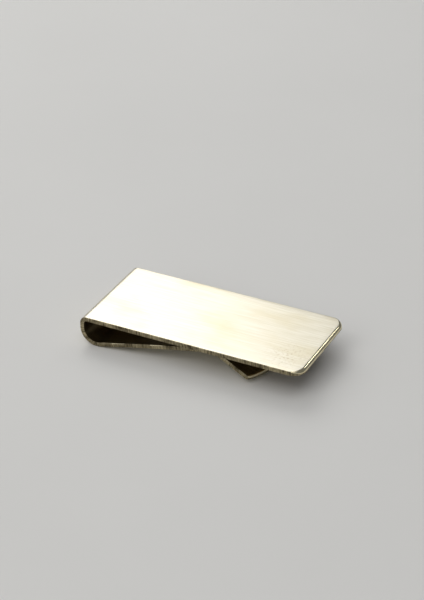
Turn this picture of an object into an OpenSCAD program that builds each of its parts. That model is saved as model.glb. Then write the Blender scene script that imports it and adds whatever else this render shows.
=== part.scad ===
// Money clip bent from one strip of brass.
// The origin is the middle of the clip's base. +X points to the free end of the face plate,
// +Y runs across the strip and +Z points up through the face plate.
// The strip is drawn region by region, each ending where a bend starts or stops.

/* [Strip] */
// Thickness of the brass strip
strip_t = 1.0; // [0.8:0.1:1.3]
// Width of the strip at the face plate and round the fold
strip_w = 24; // [22:0.5:30]

/* [Face plate] */
// Overall length, from the back of the fold to the free end of the face plate
clip_l = 52.5; // [44:0.5:66]
// Overall height, from the surface under the clip to the top of the face plate
clip_h = 6.7; // [5.8:0.1:8]
// Radius of the two free corners of the face plate, seen from above
face_corner_r = 3.0; // [1:0.2:6]
// Radius that eases the upper edge of the free end
face_edge_r = 0.7; // [0.2:0.1:0.7]

/* [Fold] */
// Inside radius of the tight bend next to the face plate
upper_bend_r = 0.7; // [0.3:0.1:1]
// Inside radius of the wide bend that carries the spring leg
heel_bend_r = 3.0; // [2:0.1:3.6]

/* [Spring leg] */
// Distance from the back of the fold to the line where the leg grips
grip_reach = 30; // [24:0.2:35]
// Radius of the gentle bow along the leg
leg_bow_r = 450; // [250:10:1200]
// Inside radius of the bend at the grip
grip_bend_r = 6.5; // [3:0.5:9]
// Gap left at the grip when the clip is empty
grip_gap = 0.05; // [0.03:0.01:0.1]

/* [Lead-in lip] */
// Width of the strip at its waist, where the lip starts
waist_w = 20.2; // [17:0.2:21.8]
// Angle at which the lip drops away from the face plate
lip_angle = 23; // [19:1:40]
// Width that the lip's sides have spread to at its tip
lip_tip_w = 22.8; // [18:0.2:24]
// Radius of the lip's curved end, seen square on
lip_end_r = 24; // [16:0.5:40]
// Radius of the lip's two corners, seen square on
lip_corner_r = 1.0; // [0.5:0.1:2.5]
// Radius that eases the upper edge of the lip's end
lip_edge_r = 0.6; // [0.2:0.1:0.8]

/* [Hidden] */
$fn = 96;
bow_fn = 2400; // the leg's bow is a small part of a very large circle
arc_steps = 12;
satin_brass = [0.93, 0.89, 0.74];
bare_brass = [0.66, 0.56, 0.36];

half_t = strip_t / 2;
half_w = strip_w / 2;
x_back = -clip_l / 2;
x_free = clip_l / 2;
z_under = clip_h - strip_t; // underside of the face plate

// Centres of the three bends
upper_centre = [x_back + strip_t + upper_bend_r, 0, z_under - upper_bend_r];
heel_centre = [x_back + strip_t + heel_bend_r, 0, strip_t + heel_bend_r];
grip_centre = [x_back + grip_reach, 0, z_under - grip_gap - strip_t - grip_bend_r];

// The leg's bow meets the heel bend and the grip bend in line with both, so the three centres
// form a triangle whose sides are all known. Slopes are measured upwards from +X.
heel_to_grip = grip_centre - heel_centre;
heel_to_bow_l = leg_bow_r + heel_bend_r + half_t;
grip_to_bow_l = leg_bow_r - grip_bend_r - half_t;
cos_at_heel = (heel_to_grip * heel_to_grip + heel_to_bow_l ^ 2 - grip_to_bow_l ^ 2)
    / (2 * norm(heel_to_grip) * heel_to_bow_l);
slope_at_heel = 90 + atan2(heel_to_grip.z, heel_to_grip.x) - acos(cos_at_heel);
bow_centre = heel_centre + heel_to_bow_l * [sin(slope_at_heel), 0, -cos(slope_at_heel)];
bow_to_grip = grip_centre - bow_centre;
slope_at_grip = atan2(bow_to_grip.z, bow_to_grip.x) - 90;

// The lip starts where the grip bend stops, and its lower edge ends on the surface under the clip
lip_start = grip_centre + (grip_bend_r + half_t) * [sin(lip_angle), 0, cos(lip_angle)];
lip_l = (grip_centre.z + grip_bend_r * cos(lip_angle)) / sin(lip_angle);

// The strip keeps its full width round the fold, then narrows evenly to the waist where the lip starts
x_taper = heel_centre.x + (heel_bend_r + half_t) * sin(slope_at_heel);
taper = (strip_w - waist_w) / 2 / (lip_start.x - x_taper);
function half_w_at(x) = half_w - taper * (x - x_taper);

function mirrored(points) = [for (i = [len(points) - 1 : -1 : 0]) [points[i].x, -points[i].y]];
function arc(centre, r, from, to) = [
    for (i = [0 : arc_steps]) centre + r * [cos(from + (to - from) * i / arc_steps), sin(from + (to - from) * i / arc_steps)]
];

// A stretch of bend at full width, between two angles measured from +X towards +Z
module bend(centre, inside_r, from, to) {
    translate(centre)
        rotate([90, 0, 0])
            rotate(from)
                rotate_extrude(angle = to - from)
                    translate([inside_r, -half_w])
                        square([strip_t, strip_w]);
}

// Everything within the strip's tapered outline, seen from above
module taper_outline() {
    side = [
        [x_taper - strip_t, half_w],
        [x_taper, half_w],
        [lip_start.x + strip_t, half_w_at(lip_start.x + strip_t)],
    ];
    linear_extrude(clip_h)
        polygon(concat(side, mirrored(side)));
}

// Section of a sheet that ends at x = length, with its upper end edge eased
module eased_section(length, edge_r) {
    square([length, strip_t - edge_r]);
    square([length - edge_r, strip_t]);
    translate([length - edge_r, strip_t - edge_r])
        circle(edge_r);
}

module face_outline(length) {
    translate([0, -half_w])
        square([length - face_corner_r, strip_w]);
    translate([0, face_corner_r - half_w])
        square([length, strip_w - 2 * face_corner_r]);
    for (side = [-1, 1])
        translate([length - face_corner_r, side * (half_w - face_corner_r)])
            circle(face_corner_r);
}

// The lip's flat outline: sides that spread from the waist, two small corners and a curved end
module lip_outline() {
    k = (waist_w - lip_tip_w) / 2 / lip_l;
    start_w = waist_w / 2;
    end_centre = [lip_l - lip_end_r, 0];
    // the corner's centre lies one corner radius inside both the side and the curved end
    side_w = start_w - lip_corner_r * sqrt(1 + k ^ 2);
    b = end_centre.x + k * side_w;
    c = end_centre.x ^ 2 + side_w ^ 2 - (lip_end_r - lip_corner_r) ^ 2;
    corner_x = (b + sqrt(b ^ 2 - (1 + k ^ 2) * c)) / (1 + k ^ 2);
    corner_centre = [corner_x, side_w - k * corner_x];
    corner_angle = atan2(corner_centre.y, corner_centre.x - end_centre.x);
    side = concat([[0, start_w]], arc(corner_centre, lip_corner_r, 90 - atan(k), corner_angle));
    polygon(concat(side, arc(end_centre, lip_end_r, corner_angle, -corner_angle), mirrored(side)));
}

module face_plate() {
    length = x_free - upper_centre.x;
    color(satin_brass)
        translate([upper_centre.x, 0, z_under])
            intersection() {
                linear_extrude(strip_t)
                    face_outline(length);
                rotate([90, 0, 0])
                    linear_extrude(strip_w, center = true)
                        eased_section(length, face_edge_r);
            }
}

module upper_bend() {
    color(satin_brass)
        bend(upper_centre, upper_bend_r, 90, 180);
}

module fold_web() {
    color(satin_brass)
        translate([x_back, -half_w, heel_centre.z])
            cube([strip_t, strip_w, upper_centre.z - heel_centre.z]);
}

module heel_bend() {
    color(satin_brass)
        bend(heel_centre, heel_bend_r, 180, 270 + slope_at_heel);
}

module spring_leg() {
    color(bare_brass)
        intersection() {
            bend(bow_centre, leg_bow_r - half_t, 90 + slope_at_grip, 90 + slope_at_heel, $fn = bow_fn);
            taper_outline();
        }
}

module grip_crest() {
    color(bare_brass)
        intersection() {
            bend(grip_centre, grip_bend_r, 90 - lip_angle, 90 + slope_at_grip);
            taper_outline();
        }
}

module lead_in_lip() {
    color(bare_brass)
        translate(lip_start)
            rotate([0, lip_angle, 0])
                translate([0, 0, -half_t])
                    intersection() {
                        linear_extrude(strip_t)
                            lip_outline();
                        translate([lip_l - lip_end_r, 0, 0])
                            rotate_extrude()
                                eased_section(lip_end_r, lip_edge_r);
                    }
}

face_plate();
upper_bend();
fold_web();
heel_bend();
spring_leg();
grip_crest();
lead_in_lip();
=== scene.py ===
import math
import bmesh
import bpy
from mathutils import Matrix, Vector


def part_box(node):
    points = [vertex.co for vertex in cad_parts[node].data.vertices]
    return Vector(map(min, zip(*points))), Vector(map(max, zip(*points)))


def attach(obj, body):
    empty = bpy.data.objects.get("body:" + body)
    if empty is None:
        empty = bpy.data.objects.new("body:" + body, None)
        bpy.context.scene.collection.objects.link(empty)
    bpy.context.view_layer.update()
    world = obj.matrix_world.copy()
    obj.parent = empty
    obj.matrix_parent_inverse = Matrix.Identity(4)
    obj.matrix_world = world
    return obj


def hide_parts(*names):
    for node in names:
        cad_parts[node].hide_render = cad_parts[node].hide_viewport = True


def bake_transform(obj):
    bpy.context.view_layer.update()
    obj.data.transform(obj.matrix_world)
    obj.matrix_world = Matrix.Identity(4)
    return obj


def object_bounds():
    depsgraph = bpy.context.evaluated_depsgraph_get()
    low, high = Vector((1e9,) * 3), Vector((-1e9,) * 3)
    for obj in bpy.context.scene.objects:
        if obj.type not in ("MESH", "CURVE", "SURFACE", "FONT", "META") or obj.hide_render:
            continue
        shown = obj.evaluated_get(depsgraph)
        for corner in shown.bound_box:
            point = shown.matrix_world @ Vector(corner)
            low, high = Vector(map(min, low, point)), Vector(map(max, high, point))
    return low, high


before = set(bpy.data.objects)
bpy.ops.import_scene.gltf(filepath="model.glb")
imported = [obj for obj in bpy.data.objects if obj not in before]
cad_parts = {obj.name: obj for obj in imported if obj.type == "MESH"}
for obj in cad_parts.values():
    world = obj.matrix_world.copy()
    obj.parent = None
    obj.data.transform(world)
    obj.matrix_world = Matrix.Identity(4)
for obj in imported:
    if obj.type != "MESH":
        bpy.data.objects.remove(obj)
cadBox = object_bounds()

mm = 0.001
quarterTurn = math.pi / 2
print("money clip: frame loaded")


# the strip's centre line is laid out stretch by stretch from the frame's boxes, and these are what
# the boxes can't say: where the leg grips, how it is bowed and how the lip drops
leg = {
    "gripReach": 30 * mm,        # from the back of the fold to the grip line
    "gripGap": 0.05 * mm,        # left under the face plate when the clip is empty
    "gripBendRadius": 6.5 * mm,  # inside the bend
    "bowRadius": 450 * mm,
    "lipDrop": 23,               # degrees
}

plateLow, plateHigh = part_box("face_plate")
webLow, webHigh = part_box("fold_web")
heelLow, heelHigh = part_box("heel_bend")
thickness = plateHigh.z - plateLow.z
halfWidth = plateHigh.y
halfThick = thickness / 2


def along(stretch, s):
    # x, z and heading of the centre line at distance s into a stretch
    x, z = stretch["start"]
    h, turn, length = stretch["heading"], stretch["turn"], stretch["length"]
    if turn == 0:
        return x + s * math.cos(h), z + s * math.sin(h), h
    radius = length / turn
    now = h + turn * s / length
    return x + radius * (math.sin(now) - math.sin(h)), z - radius * (math.cos(now) - math.cos(h)), now


def slopesOfLeg(heelCentre, gripCentre, heelRadius):
    # the leg's bow runs in line into both bends, so the three centres make a triangle of known sides
    run, rise = gripCentre[0] - heelCentre[0], gripCentre[1] - heelCentre[1]
    gap = math.hypot(run, rise)
    toHeel = leg["bowRadius"] + heelRadius
    toGrip = leg["bowRadius"] - leg["gripBendRadius"] - halfThick
    corner = math.acos((gap ** 2 + toHeel ** 2 - toGrip ** 2) / (2 * gap * toHeel))
    atHeel = quarterTurn + math.atan2(rise, run) - corner
    bowX = heelCentre[0] + toHeel * math.sin(atHeel)
    bowZ = heelCentre[1] - toHeel * math.cos(atHeel)
    atGrip = math.atan2(gripCentre[1] - bowZ, gripCentre[0] - bowX) - quarterTurn
    return atHeel, atGrip


def layOutStrip():
    # from the free end of the face plate, round the fold and out to the tip of the lip
    back = webLow.x
    upperRadius = plateHigh.z - webHigh.z - halfThick
    heelRadius = heelHigh.z - heelLow.z - halfThick
    heelCentre = (back + halfThick + heelRadius, heelLow.z + halfThick + heelRadius)
    gripTop = plateLow.z - leg["gripGap"]
    gripCentre = (back + leg["gripReach"], gripTop - thickness - leg["gripBendRadius"])
    atHeel, atGrip = slopesOfLeg(heelCentre, gripCentre, heelRadius)
    drop = math.radians(leg["lipDrop"])
    gripRadius = leg["gripBendRadius"] + halfThick
    lipLength = (gripCentre[1] + leg["gripBendRadius"] * math.cos(drop) - heelLow.z) / math.sin(drop)
    # each stretch's node, length and turn in radians: a turn of 0 is straight, and any other is an arc
    plan = [
        ("face_plate", plateHigh.x - plateLow.x, 0),
        ("upper_bend", upperRadius * quarterTurn, quarterTurn),
        ("fold_web", webHigh.z - webLow.z, 0),
        ("heel_bend", heelRadius * (quarterTurn + atHeel), quarterTurn + atHeel),
        ("spring_leg", leg["bowRadius"] * (atHeel - atGrip), atGrip - atHeel),
        ("grip_crest", gripRadius * (atGrip + drop), -atGrip - drop),
        ("lead_in_lip", lipLength, 0),
    ]
    place = (plateHigh.x, plateHigh.z - halfThick)
    heading, done, stretches = math.pi, 0, {}
    for name, length, turn in plan:
        stretch = {"start": place, "heading": heading, "length": length, "turn": turn, "from": done}
        stretches[name] = stretch
        x, z, heading = along(stretch, length)
        place = (x, z)
        done += length
    return stretches


stretches = layOutStrip()
stripLength = sum(stretch["length"] for stretch in stretches.values())
print("money clip: strip laid out,", round(stripLength / mm, 2), "mm long")


# the flat blank of each stretch is cut, eased at its edges and then bent round the centre line
blank = {
    "rollOver": 0.12 * mm,     # the brushed side's edge, drawn round by the shears
    "burr": 0.05 * mm,         # the other side's edge, barely broken
    "easeSteps": 6,            # faces round an eased edge
    "easedFrom": 0.15 * mm,    # an edge eased further than this shows bright
    "hold": 0.25 * mm,         # narrow face beside an inner edge, which keeps the inside's shading flat
    "crown": 2.2 * mm,         # margin of the brushed side that the belt has worn down
    "crownDrop": 0.045 * mm,   # how far it is worn down at the edge
    "crownSteps": 5,
    "bendStep": 2.5,           # degrees of bend for each row of faces
    "straightRow": 3.2 * mm,   # length of a row where the strip is straight or nearly so
    "sharpAngle": 35,          # degrees between faces that are not shaded as one
    "waistWidth": 20.2 * mm,   # where the lip starts
    "lipTipWidth": 22.8 * mm,  # that the lip's sides have spread to at its tip
}
facePlate = {
    "cornerRadius": 3.0 * mm,
    "cornerSteps": 20,
    "sideRows": 8,
    "endEase": 0.7 * mm,       # how far the free end's upper edge is linished round
    "endBurr": 0.1 * mm,       # how far its lower edge is
    "endCrown": 0.4 * mm,      # worn margin at the free end
    "easeGrowth": 1.3,         # how fast the edges' rounding grows round a corner: 1 takes all of it
    "crownGrowth": 2,          # how fast the worn margin narrows round a corner
}
springLeg = {
    # its inner edges are broken by hand: shares of its length from the heel, and how far in mm
    "arris": [
        (0.0, 0.05), (0.02, 0.26), (0.14, 0.22),
        (0.2, 0.1), (0.36, 0.1), (0.42, 0.2),
        (0.6, 0.2), (0.66, 0.08), (1.0, 0.05),
    ],
}
leadInLip = {
    "cornerRadius": 1.0 * mm,
    "endRadius": 24 * mm,      # the curve of its tip, seen on the flat
    "cornerSteps": 10,
    "endSteps": 16,
    "endEase": 0.45 * mm,      # how far the tip's inner edge is linished round
    "crown": 0.5 * mm,         # worn margin at the tip
}

legStart = along(stretches["spring_leg"], 0)[0]
lipStart = stretches["lead_in_lip"]["start"][0]
taper = (halfWidth - blank["waistWidth"] / 2) / (lipStart - legStart)


def halfWidthAt(x):
    # full width round the fold, then narrowing evenly to the waist where the lip starts
    return halfWidth - taper * max(0.0, x - legStart)


def smooth(t):
    # eases from 0 to 1 as t does
    t = min(1.0, max(0.0, t))
    return t * t * (3 - 2 * t)


def point(s, v, lean, outer=None, inner=None, crown=None):
    # a point of a blank's outline, s along the strip and v across it from the middle
    # lean is the way its edge faces, from 0 straight across to 1 straight along
    outer = blank["rollOver"] if outer is None else outer
    inner = blank["burr"] if inner is None else inner
    crown = blank["crown"] if crown is None else crown
    return {"s": s, "v": v, "lean": lean * quarterTurn, "outer": outer, "inner": inner, "crown": crown}


def arrisOf(name, share):
    # the leg's inner edges are broken unevenly where notes slide past
    if name != "spring_leg":
        return blank["burr"]
    stations = springLeg["arris"]
    for (start, before), (end, after) in zip(stations, stations[1:]):
        if share <= end:
            return (before + (after - before) * (share - start) / (end - start)) * mm
    return blank["burr"]


def plainOutline(name):
    # a stretch that runs on at both ends
    stretch = stretches[name]
    byTurn = abs(math.degrees(stretch["turn"])) / blank["bendStep"]
    byLength = stretch["length"] / blank["straightRow"]
    rows = max(2, math.ceil(byTurn), math.ceil(byLength))
    outline = []
    for i in range(rows + 1):
        s = stretch["length"] * i / rows
        x = along(stretch, s)[0]
        outline.append(point(s, halfWidthAt(x), 0, None, arrisOf(name, i / rows)))
    return outline


def plateOutline():
    # from the fold to the free end, whose corners and upper edge are linished round
    length, r = stretches["face_plate"]["length"], facePlate["cornerRadius"]
    rows = facePlate["sideRows"]
    outline = [point(length - (length - r) * i / rows, halfWidth, 0) for i in range(rows)]
    for i in range(facePlate["cornerSteps"] + 1):
        t = i / facePlate["cornerSteps"]
        a = t * quarterTurn
        reach = smooth(t * facePlate["easeGrowth"])
        crownReach = smooth(t * facePlate["crownGrowth"])
        crown = blank["crown"] + (facePlate["endCrown"] - blank["crown"]) * crownReach
        outer = blank["rollOver"] + (facePlate["endEase"] - blank["rollOver"]) * reach
        inner = blank["burr"] + (facePlate["endBurr"] - blank["burr"]) * reach
        s, v = r - r * math.sin(a), halfWidth - r + r * math.cos(a)
        outline.append(point(s, v, -t, outer, inner, crown))
    return outline


def lipOutline():
    # sides that spread from the waist, two small corners and a curved end
    stretch = stretches["lead_in_lip"]
    length, r, big = stretch["length"], leadInLip["cornerRadius"], leadInLip["endRadius"]
    outer, crown = blank["rollOver"], leadInLip["crown"]
    startWidth = blank["waistWidth"] / 2
    narrowing = (blank["waistWidth"] - blank["lipTipWidth"]) / 2 / length
    # a corner's centre is where a line one radius inside the side meets a circle one inside the end
    sideLine = startWidth - r * math.sqrt(1 + narrowing * narrowing)
    middle = length - big
    b = middle + narrowing * sideLine
    c = middle ** 2 + sideLine ** 2 - (big - r) ** 2
    cornerS = (b + math.sqrt(b * b - (1 + narrowing * narrowing) * c)) / (1 + narrowing * narrowing)
    cornerV = sideLine - narrowing * cornerS
    turnIn = math.atan(narrowing)
    turnOut = quarterTurn - math.atan2(cornerV, cornerS - middle)
    halfWay = cornerS / 2
    outline = [point(0, startWidth, 0), point(halfWay, startWidth - narrowing * halfWay, 0)]
    for i in range(leadInLip["cornerSteps"] + 1):
        t = i / leadInLip["cornerSteps"]
        a = turnIn + (turnOut - turnIn) * t
        ease = blank["burr"] + (leadInLip["endEase"] - blank["burr"]) * smooth(t)
        s, v = cornerS + r * math.sin(a), cornerV + r * math.cos(a)
        outline.append(point(s, v, a / quarterTurn, outer, ease, crown))
    for i in range(1, leadInLip["endSteps"] + 1):
        a = turnOut + (quarterTurn - turnOut) * i / leadInLip["endSteps"]
        s, v = middle + big * math.sin(a), big * math.cos(a)
        v = 0.0 if i == leadInLip["endSteps"] else v
        outline.append(point(s, v, a / quarterTurn, outer, leadInLip["endEase"], crown))
    return outline


def edgeProfile(p):
    # (inset from the outline, height above the centre line) from the brushed side over to the other
    steps, outer, inner, crown = blank["easeSteps"], p["outer"], p["inner"], p["crown"]
    drop = blank["crownDrop"] * crown / blank["crown"]
    profile = []
    for i in range(blank["crownSteps"]):
        worn = i / blank["crownSteps"]
        profile.append((outer + crown * (1 - worn), halfThick - drop * worn ** 2))
    top = halfThick - drop
    for i in range(steps + 1):
        a = quarterTurn * i / steps
        profile.append((outer * (1 - math.sin(a)), top - outer * (1 - math.cos(a))))
    for i in range(steps + 1):
        a = quarterTurn * i / steps
        profile.append((inner * (1 - math.cos(a)), inner * (1 - math.sin(a)) - halfThick))
    profile.append((inner + blank["hold"], -halfThick))
    return profile


faceSlot, edgeSlot, insideSlot, easedSlot = 0, 1, 2, 3   # the order of the finishes on every piece


def finishOf(p, j):
    # the finish of the jth face down an edge, and whether that face is on the edge's wall
    wall = blank["crownSteps"] + blank["easeSteps"]
    if j < blank["crownSteps"]:
        return faceSlot, False
    if j > wall + blank["easeSteps"]:
        return insideSlot, False
    ease = p["outer"] if j < wall else p["inner"]
    return (easedSlot if j != wall and ease > blank["easedFrom"] else edgeSlot), True


def bendBlank(pieceName, node, outline, freeEnd):
    # makes one closed mesh: the flat outline and its edges, each point carried onto the bent centre line
    stretch = stretches[node]
    mesh = bmesh.new()
    flat = mesh.loops.layers.uv.new("flatPattern")
    places = {}   # each vertex's place on the flat: along, across, run of the outline, height

    def bent(s, v, n):
        x, z, heading = along(stretch, s)
        return mesh.verts.new((x + n * math.sin(heading), v, z - n * math.cos(heading)))

    sides = []
    for side in (1, -1):
        rings, travelled, last = [], 0.0, None
        for p in outline:
            if last is not None:
                travelled += math.hypot(p["s"] - last["s"], p["v"] - last["v"])
            last = p
            if side < 0 and p["v"] == 0:
                rings.append(sides[0][-1])   # both sides share the ring on the middle line
                continue
            ring = []
            for inset, n in edgeProfile(p):
                s = p["s"] - inset * math.sin(p["lean"])
                v = p["v"] - inset * math.cos(p["lean"])
                vertex = bent(s, side * v, n)
                places[vertex] = (stretch["from"] + s, side * v, travelled, n)
                ring.append(vertex)
            rings.append(ring)
        sides.append(rings)
    farSide, nearSide = sides   # +Y and -Y
    last = len(outline) - 1
    towards = 1 if outline[-1]["s"] > outline[0]["s"] else -1
    wallStart = stretch["from"] + outline[0]["s"]

    def face(vertices, slot, onWall):
        unique = list(dict.fromkeys(vertices))
        if len(unique) < 3:
            return
        made = mesh.faces.new(unique)
        made.smooth = True
        made.material_index = slot
        for loop in made.loops:
            s, v, outlineRun, n = places[loop.vert]
            loop[flat].uv = (wallStart + towards * outlineRun, n) if onWall else (s, v)

    around = range(len(farSide[0]) - 1)
    for rings in sides:
        for i in range(last):
            here, there = rings[i], rings[i + 1]
            for j in around:
                slot, onWall = finishOf(outline[i], j)
                face([here[j], there[j], there[j + 1], here[j + 1]], slot, onWall)
    for i in range(last):
        far, farNext, near, nearNext = farSide[i], farSide[i + 1], nearSide[i], nearSide[i + 1]
        face([far[0], farNext[0], nearNext[0], near[0]], faceSlot, False)
        face([far[-1], farNext[-1], nearNext[-1], near[-1]], insideSlot, False)
    face(farSide[0] + nearSide[0][::-1], edgeSlot, False)
    far, near = farSide[last], nearSide[last]
    if not freeEnd:
        face(far + near[::-1], edgeSlot, False)
    elif far[0] is not near[0]:
        for j in around:
            slot = finishOf(outline[last], j)[0]
            face([far[j], far[j + 1], near[j + 1], near[j]], slot, False)
    bmesh.ops.recalc_face_normals(mesh, faces=mesh.faces)
    data = bpy.data.meshes.new(pieceName)
    mesh.to_mesh(data)
    mesh.free()
    data.set_sharp_from_angle(angle=math.radians(blank["sharpAngle"]))
    piece = bpy.data.objects.new(pieceName, data)
    bpy.context.scene.collection.objects.link(piece)
    return piece


pieces = {
    "facePlate": bendBlank("facePlate", "face_plate", plateOutline(), True),
    "upperBend": bendBlank("upperBend", "upper_bend", plainOutline("upper_bend"), False),
    "foldWeb": bendBlank("foldWeb", "fold_web", plainOutline("fold_web"), False),
    "heelBend": bendBlank("heelBend", "heel_bend", plainOutline("heel_bend"), False),
    "springLeg": bendBlank("springLeg", "spring_leg", plainOutline("spring_leg"), False),
    "gripCrest": bendBlank("gripCrest", "grip_crest", plainOutline("grip_crest"), False),
    "leadInLip": bendBlank("leadInLip", "lead_in_lip", lipOutline(), True),
}
print("money clip: pieces bent")


def toLinear(hexColour):
    # "#rrggbb" in sRGB to the linear values that a shader takes
    parts = [int(hexColour[i:i + 2], 16) / 255 for i in (1, 3, 5)]
    return tuple(c / 12.92 if c <= 0.04045 else ((c + 0.055) / 1.055) ** 2.4 for c in parts) + (1.0,)


def addNode(tree, kind, settings=None, links=None):
    # adds a node, gives its sockets and properties their values, and links its inputs
    node = tree.nodes.new(kind)
    for key, value in (settings or {}).items():
        if isinstance(key, int) or key in node.inputs:
            node.inputs[key].default_value = value
        else:
            setattr(node, key, value)
    for key, (source, output) in (links or {}).items():
        tree.links.new(source.outputs[output], node.inputs[key])
    return node


def newMaterial(name):
    material = bpy.data.materials.new(name)
    material.use_nodes = True
    material.node_tree.nodes.clear()
    return material, material.node_tree


noiseLow, noiseHigh = 0.3, 0.7   # nearly all of a noise texture's values lie between these

satin = {
    "gold": "#e6dec5",
    "paleGold": "#f8f2e1",
    "tarnish": "#dccda0",
    "speck": "#b9a373",
    "hairline": 0.46 * mm,         # width, really about 0.05 mm; drawn coarser so that it shows
    "hairlineLength": 12 * mm,
    "hairlineRange": (0.36, 0.64),  # noise values that are all gold and all pale gold
    "cloud": 8 * mm,               # size of the faint patches where fingers have dulled it
    "cloudStretch": 0.5,           # they are twice as long as they are wide
    "cloudRange": (0.5, 0.75),     # noise values where the tarnish starts and where it is full
    "cloudStrength": 0.4,          # share of tarnish where it is full
    "cloudMark": (11 * mm, 5 * mm, 6 * mm),       # a duller patch: from the free end, across, radius
    "cloudMarkLift": 0.2,          # how much that patch adds to the clouds
    "speckMark": (5.5 * mm, -6.5 * mm, 6 * mm),   # where the thumb has left specks of tarnish
    "speckSize": 0.6 * mm,
    "speckRange": (0.5, 0.85),     # noise values where a speck starts and where it is full
    "roughness": (0.30, 0.44),
    "spread": 0.5,                 # how far the gleam is drawn out to one side
    "spreadTurn": 0.25,            # of a turn, so that it runs across the hairlines
    "depth": 0.004 * mm,           # of the hairlines
    "bump": 0.6,
}


def markAround(tree, flat, mark):
    # 1 at a place on the flat strip, fading to nothing at a radius from it
    fromEnd, across, radius = mark
    away = addNode(tree, "ShaderNodeVectorMath", {"operation": "DISTANCE", 1: (fromEnd, across, 0)},
                   {0: (flat, "UV")})
    return addNode(tree, "ShaderNodeMapRange", {"From Min": radius, "From Max": 0.0},
                   {"Value": (away, "Value")})


def satinBrushedBrass():
    # CuZn37 brass sheet, brushed along the strip with a fine belt and left bare: hairlines down its
    # length, a soft gleam spread across them, and a pale gold that turns nearly white in full light
    material, tree = newMaterial("satinBrushedBrass")
    flat = addNode(tree, "ShaderNodeUVMap", {"uv_map": "flatPattern"})
    combScale = (1 / satin["hairlineLength"], 1 / satin["hairline"], 1)
    combed = addNode(tree, "ShaderNodeMapping", {"Scale": combScale}, {"Vector": (flat, "UV")})
    hairlines = addNode(tree, "ShaderNodeTexNoise", {"Scale": 1.0, "Detail": 4.0, "Roughness": 0.65},
                        {"Vector": (combed, "Vector")})
    cloudScale = (satin["cloudStretch"] / satin["cloud"], 1 / satin["cloud"], 1)
    stretched = addNode(tree, "ShaderNodeMapping", {"Scale": cloudScale}, {"Vector": (flat, "UV")})
    clouds = addNode(tree, "ShaderNodeTexNoise", {"Scale": 1.0, "Detail": 3.0},
                     {"Vector": (stretched, "Vector")})
    cloudMark = markAround(tree, flat, satin["cloudMark"])
    marked = addNode(tree, "ShaderNodeMath", {"operation": "MULTIPLY_ADD", 1: satin["cloudMarkLift"]},
                     {0: (cloudMark, "Result"), 2: (clouds, "Fac")})
    low, high = satin["cloudRange"]
    dulled = addNode(tree, "ShaderNodeMapRange",
                     {"From Min": low, "From Max": high, "To Max": satin["cloudStrength"]},
                     {"Value": (marked, "Value")})
    low, high = satin["hairlineRange"]
    strands = addNode(tree, "ShaderNodeMapRange", {"From Min": low, "From Max": high},
                      {"Value": (hairlines, "Fac")})
    lined = addNode(tree, "ShaderNodeMixRGB",
                    {"Color1": toLinear(satin["gold"]), "Color2": toLinear(satin["paleGold"])},
                    {"Fac": (strands, "Result")})
    clouded = addNode(tree, "ShaderNodeMixRGB", {"Color2": toLinear(satin["tarnish"])},
                      {"Fac": (dulled, "Result"), "Color1": (lined, "Color")})
    speckScale = (1 / satin["speckSize"], 1 / satin["speckSize"], 1)
    dotted = addNode(tree, "ShaderNodeMapping", {"Scale": speckScale}, {"Vector": (flat, "UV")})
    dots = addNode(tree, "ShaderNodeTexNoise", {"Scale": 1.0, "Detail": 2.0},
                   {"Vector": (dotted, "Vector")})
    low, high = satin["speckRange"]
    specks = addNode(tree, "ShaderNodeMapRange", {"From Min": low, "From Max": high},
                     {"Value": (dots, "Fac")})
    thumb = markAround(tree, flat, satin["speckMark"])
    speckled = addNode(tree, "ShaderNodeMath", {"operation": "MULTIPLY"},
                       {0: (specks, "Result"), 1: (thumb, "Result")})
    colour = addNode(tree, "ShaderNodeMixRGB", {"Color2": toLinear(satin["speck"])},
                     {"Fac": (speckled, "Value"), "Color1": (clouded, "Color")})
    low, high = satin["roughness"]
    rough = addNode(tree, "ShaderNodeMapRange",
                    {"From Min": noiseLow, "From Max": noiseHigh, "To Min": low, "To Max": high},
                    {"Value": (hairlines, "Fac")})
    relief = addNode(tree, "ShaderNodeBump", {"Strength": satin["bump"], "Distance": satin["depth"]},
                     {"Height": (hairlines, "Fac")})
    brushedWay = addNode(tree, "ShaderNodeTangent",
                         {"direction_type": "UV_MAP", "uv_map": "flatPattern"})
    metal = addNode(tree, "ShaderNodeBsdfPrincipled",
                    {"Metallic": 1.0, "Anisotropic": satin["spread"],
                     "Anisotropic Rotation": satin["spreadTurn"]},
                    {"Base Color": (colour, "Color"), "Roughness": (rough, "Result"),
                     "Normal": (relief, "Normal"), "Tangent": (brushedWay, "Tangent")})
    addNode(tree, "ShaderNodeOutputMaterial", {}, {"Surface": (metal, "BSDF")})
    return material


sheared = {
    "bright": "#b9ad8c",
    "dark": "#493f2d",
    "tear": 0.38 * mm,       # width of a tear mark, really about 0.1 mm; drawn coarser so that it shows
    "tearStretch": 0.15,     # it is nearly seven times as tall
    "tearWeight": 1.4,       # how much more the tear marks count than the patches
    "patch": 4 * mm,         # size of the patches where the shears bit more or less cleanly
    "brightRange": (0.98, 1.42),   # sums of the two that are all dark and all bright
    "roughness": (0.38, 0.6),
    "depth": 0.05 * mm,      # of the tear marks
    "bump": 0.8,
}


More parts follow.
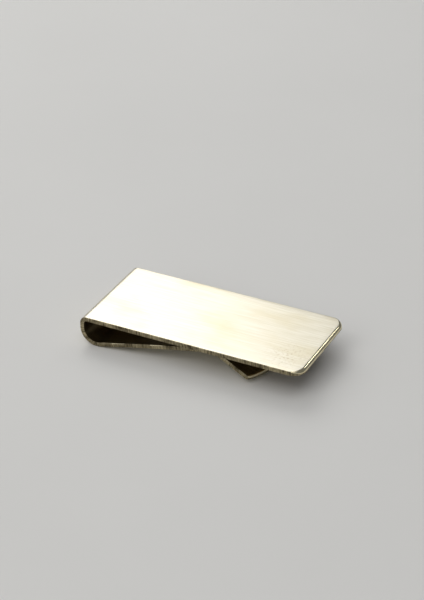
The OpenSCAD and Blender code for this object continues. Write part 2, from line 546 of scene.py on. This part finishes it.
def shearedBrassEdge():
    # the strip's long edges, cut by a shear and never polished: upright tear marks side by side,
    # khaki where they shine and brown between, duller than the face
    material, tree = newMaterial("shearedBrassEdge")
    flat = addNode(tree, "ShaderNodeUVMap", {"uv_map": "flatPattern"})
    tearScale = (1 / sheared["tear"], sheared["tearStretch"] / sheared["tear"], 1)
    upright = addNode(tree, "ShaderNodeMapping", {"Scale": tearScale}, {"Vector": (flat, "UV")})
    tears = addNode(tree, "ShaderNodeTexNoise", {"Scale": 1.0, "Detail": 3.0, "Roughness": 0.6},
                    {"Vector": (upright, "Vector")})
    patchScale = (1 / sheared["patch"], 1 / sheared["patch"], 1)
    broad = addNode(tree, "ShaderNodeMapping", {"Scale": patchScale}, {"Vector": (flat, "UV")})
    patches = addNode(tree, "ShaderNodeTexNoise", {"Scale": 1.0, "Detail": 2.0},
                      {"Vector": (broad, "Vector")})
    both = addNode(tree, "ShaderNodeMath", {"operation": "MULTIPLY_ADD", 1: sheared["tearWeight"]},
                   {0: (tears, "Fac"), 2: (patches, "Fac")})
    low, high = sheared["brightRange"]
    share = addNode(tree, "ShaderNodeMapRange", {"From Min": low, "From Max": high},
                    {"Value": (both, "Value")})
    colour = addNode(tree, "ShaderNodeMixRGB",
                     {"Color1": toLinear(sheared["dark"]), "Color2": toLinear(sheared["bright"])},
                     {"Fac": (share, "Result")})
    low, high = sheared["roughness"]
    rough = addNode(tree, "ShaderNodeMapRange",
                    {"From Min": noiseLow, "From Max": noiseHigh, "To Min": high, "To Max": low},
                    {"Value": (tears, "Fac")})
    relief = addNode(tree, "ShaderNodeBump", {"Strength": sheared["bump"], "Distance": sheared["depth"]},
                     {"Height": (tears, "Fac")})
    metal = addNode(tree, "ShaderNodeBsdfPrincipled", {"Metallic": 1.0},
                    {"Base Color": (colour, "Color"), "Roughness": (rough, "Result"),
                     "Normal": (relief, "Normal")})
    addNode(tree, "ShaderNodeOutputMaterial", {}, {"Surface": (metal, "BSDF")})
    return material


paintedShadeRolled = {
    # partly the mill finish, partly painted shade for the inside of the loop and the lip, where shade
    # falls
    "bright": "#a8966f",
    "dark": "#75674b",
    "line": 0.5 * mm,        # width of a roll line, really under 0.1 mm; drawn coarser so that it shows
    "lineLength": 20 * mm,
    "roughness": (0.28, 0.42),
}


def paintedShadeRolledBrass():
    # the inner side of the strip, as it came from the rolling mill: a little smoother than the brushed
    # face, with faint long roll lines; its browner, darker colour is partly the mill finish and partly
    # painted shade
    material, tree = newMaterial("paintedShadeRolledBrass")
    flat = addNode(tree, "ShaderNodeUVMap", {"uv_map": "flatPattern"})
    lineScale = (1 / paintedShadeRolled["lineLength"], 1 / paintedShadeRolled["line"], 1)
    combed = addNode(tree, "ShaderNodeMapping", {"Scale": lineScale}, {"Vector": (flat, "UV")})
    lines = addNode(tree, "ShaderNodeTexNoise", {"Scale": 1.0, "Detail": 3.0},
                    {"Vector": (combed, "Vector")})
    colour = addNode(tree, "ShaderNodeMixRGB",
                     {"Color1": toLinear(paintedShadeRolled["dark"]), "Color2": toLinear(paintedShadeRolled["bright"])},
                     {"Fac": (lines, "Fac")})
    low, high = paintedShadeRolled["roughness"]
    rough = addNode(tree, "ShaderNodeMapRange",
                    {"From Min": noiseLow, "From Max": noiseHigh, "To Min": low, "To Max": high},
                    {"Value": (lines, "Fac")})
    metal = addNode(tree, "ShaderNodeBsdfPrincipled", {"Metallic": 1.0},
                    {"Base Color": (colour, "Color"), "Roughness": (rough, "Result")})
    addNode(tree, "ShaderNodeOutputMaterial", {}, {"Surface": (metal, "BSDF")})
    return material


linished = {
    "bright": "#f0e6c6",
    "dark": "#d3c69e",
    "grain": 0.6 * mm,       # width of a belt mark, really under 0.1 mm; drawn coarser so that it shows
    "grainStretch": 0.1,     # it is ten times as long, across the strip
    "roughness": (0.08, 0.15),
}


def linishedBrass():
    # the edges that are rounded over on a fine abrasive belt until they shine, at both free ends and
    # inside the leg: one hard line of light runs along them, and little else
    material, tree = newMaterial("linishedBrass")
    place = addNode(tree, "ShaderNodeTexCoord")
    fine = 1 / linished["grain"]
    grainScale = (fine, linished["grainStretch"] / linished["grain"], fine)
    combed = addNode(tree, "ShaderNodeMapping", {"Scale": grainScale}, {"Vector": (place, "Object")})
    grain = addNode(tree, "ShaderNodeTexNoise", {"Scale": 1.0, "Detail": 2.0},
                    {"Vector": (combed, "Vector")})
    colour = addNode(tree, "ShaderNodeMixRGB",
                     {"Color1": toLinear(linished["dark"]), "Color2": toLinear(linished["bright"])},
                     {"Fac": (grain, "Fac")})
    low, high = linished["roughness"]
    rough = addNode(tree, "ShaderNodeMapRange",
                    {"From Min": noiseLow, "From Max": noiseHigh, "To Min": low, "To Max": high},
                    {"Value": (grain, "Fac")})
    metal = addNode(tree, "ShaderNodeBsdfPrincipled", {"Metallic": 1.0},
                    {"Base Color": (colour, "Color"), "Roughness": (rough, "Result")})
    addNode(tree, "ShaderNodeOutputMaterial", {}, {"Surface": (metal, "BSDF")})
    return material


# in the order of faceSlot, edgeSlot, insideSlot and easedSlot
finishes = [satinBrushedBrass(), shearedBrassEdge(), paintedShadeRolledBrass(), linishedBrass()]
for piece in pieces.values():
    for finish in finishes:
        piece.data.materials.append(finish)
print("money clip: brass finished")


# each piece takes its node's place and moves with its body
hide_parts("face_plate")
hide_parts("upper_bend")
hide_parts("fold_web")
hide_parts("heel_bend")
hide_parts("spring_leg")
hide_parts("grip_crest")
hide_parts("lead_in_lip")
for name in ("facePlate", "upperBend", "foldWeb"):
    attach(pieces[name], "face")
for name in ("springLeg", "gripCrest", "leadInLip"):
    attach(pieces[name], "leg")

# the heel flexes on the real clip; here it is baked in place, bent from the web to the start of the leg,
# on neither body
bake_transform(pieces["heelBend"])
print("money clip: pieces ride on their bodies")


studio = {
    "floor": "#e4e2dd",
    "floorSize": 6.0,         # metres
    "floorRoughness": 0.75,
    "mottle": 60 * mm,
    "mottleShade": 0.94,      # the mottle's darker share of the floor's colour
    "ambient": "#c9cdd4",
    "ambientStrength": 0.32,
    # azimuth (from behind the clip, positive to the left) and elevation in degrees, distance, width
    # and height in metres, power in watts
    "lights": {
        "backSoftbox": (47, 41, 0.70, 0.50, 0.45, 1.5),
        "rightStrip": (-15, 38, 0.60, 0.04, 0.06, 0.07),
        "frontFill": (160, 40, 0.80, 0.50, 0.50, 0.9),
        "overhead": (180, 72, 1.20, 1.30, 1.30, 6.0),
    },
}


def paleFloor():
    # a matt painted board: almost even, with the faintest mottle
    material, tree = newMaterial("mattPaintedBoard")
    place = addNode(tree, "ShaderNodeTexCoord")
    mottle = addNode(tree, "ShaderNodeTexNoise", {"Scale": 1 / studio["mottle"], "Detail": 3.0},
                     {"Vector": (place, "Object")})
    shade = tuple(c * studio["mottleShade"] for c in toLinear(studio["floor"])[:3]) + (1.0,)
    colour = addNode(tree, "ShaderNodeMixRGB", {"Color1": shade, "Color2": toLinear(studio["floor"])},
                     {"Fac": (mottle, "Fac")})
    paint = addNode(tree, "ShaderNodeBsdfPrincipled", {"Roughness": studio["floorRoughness"]},
                    {"Base Color": (colour, "Color")})
    addNode(tree, "ShaderNodeOutputMaterial", {}, {"Surface": (paint, "BSDF")})
    half = studio["floorSize"] / 2
    corners = [(-half, -half, 0), (half, -half, 0), (half, half, 0), (-half, half, 0)]
    mesh = bpy.data.meshes.new("floor")
    mesh.from_pydata(corners, [], [(0, 1, 2, 3)])
    mesh.materials.append(material)
    floor = bpy.data.objects.new("floor", mesh)
    floor.location.z = cadBox[0].z
    bpy.context.scene.collection.objects.link(floor)


def hangLights():
    # soft panels round the clip and a dim even sky
    for name, (azimuth, elevation, distance, width, height, power) in studio["lights"].items():
        a, e = math.radians(azimuth), math.radians(elevation)
        light = bpy.data.lights.new(name, "AREA")
        light.shape = "RECTANGLE"
        light.size, light.size_y, light.energy = width, height, power
        lamp = bpy.data.objects.new(name, light)
        wayOut = Vector((-math.sin(a) * math.cos(e), math.cos(a) * math.cos(e), math.sin(e)))
        lamp.location = distance * wayOut
        lamp.rotation_euler = (-lamp.location).to_track_quat("-Z", "Y").to_euler()
        lamp.visible_camera = False
        bpy.context.scene.collection.objects.link(lamp)
    world = bpy.data.worlds.new("studio")
    world.use_nodes = True
    backdrop = world.node_tree.nodes["Background"]
    backdrop.inputs["Color"].default_value = toLinear(studio["ambient"])
    backdrop.inputs["Strength"].default_value = studio["ambientStrength"]
    bpy.context.scene.world = world
    # the plain view, in which full light on the brushed face turns white
    bpy.context.scene.view_settings.view_transform = "Standard"


view = {
    "aim": (-1.78 * mm, 3.22 * mm, 9.03 * mm),
    "azimuth": 26.4,           # degrees round from square on, to the right
    "elevation": 31.12,        # degrees above the surface
    "distance": 443.8 * mm,
    "lens": 122.64,            # focal length in mm
    "clipStart": 10 * mm,
}


def placeCamera():
    # a long lens, held level, that looks down on the clip from its front right
    a, e = math.radians(view["azimuth"]), math.radians(view["elevation"])
    back = Vector((math.sin(a) * math.cos(e), -math.cos(a) * math.cos(e), math.sin(e)))
    data = bpy.data.cameras.new("camera")
    data.lens = view["lens"]
    data.clip_start = view["clipStart"]
    camera = bpy.data.objects.new("camera", data)
    camera.location = Vector(view["aim"]) + back * view["distance"]
    camera.rotation_euler = (-back).to_track_quat("-Z", "Y").to_euler()
    bpy.context.scene.collection.objects.link(camera)
    bpy.context.scene.camera = camera


paleFloor()
hangLights()
placeCamera()
print("money clip: studio set up")
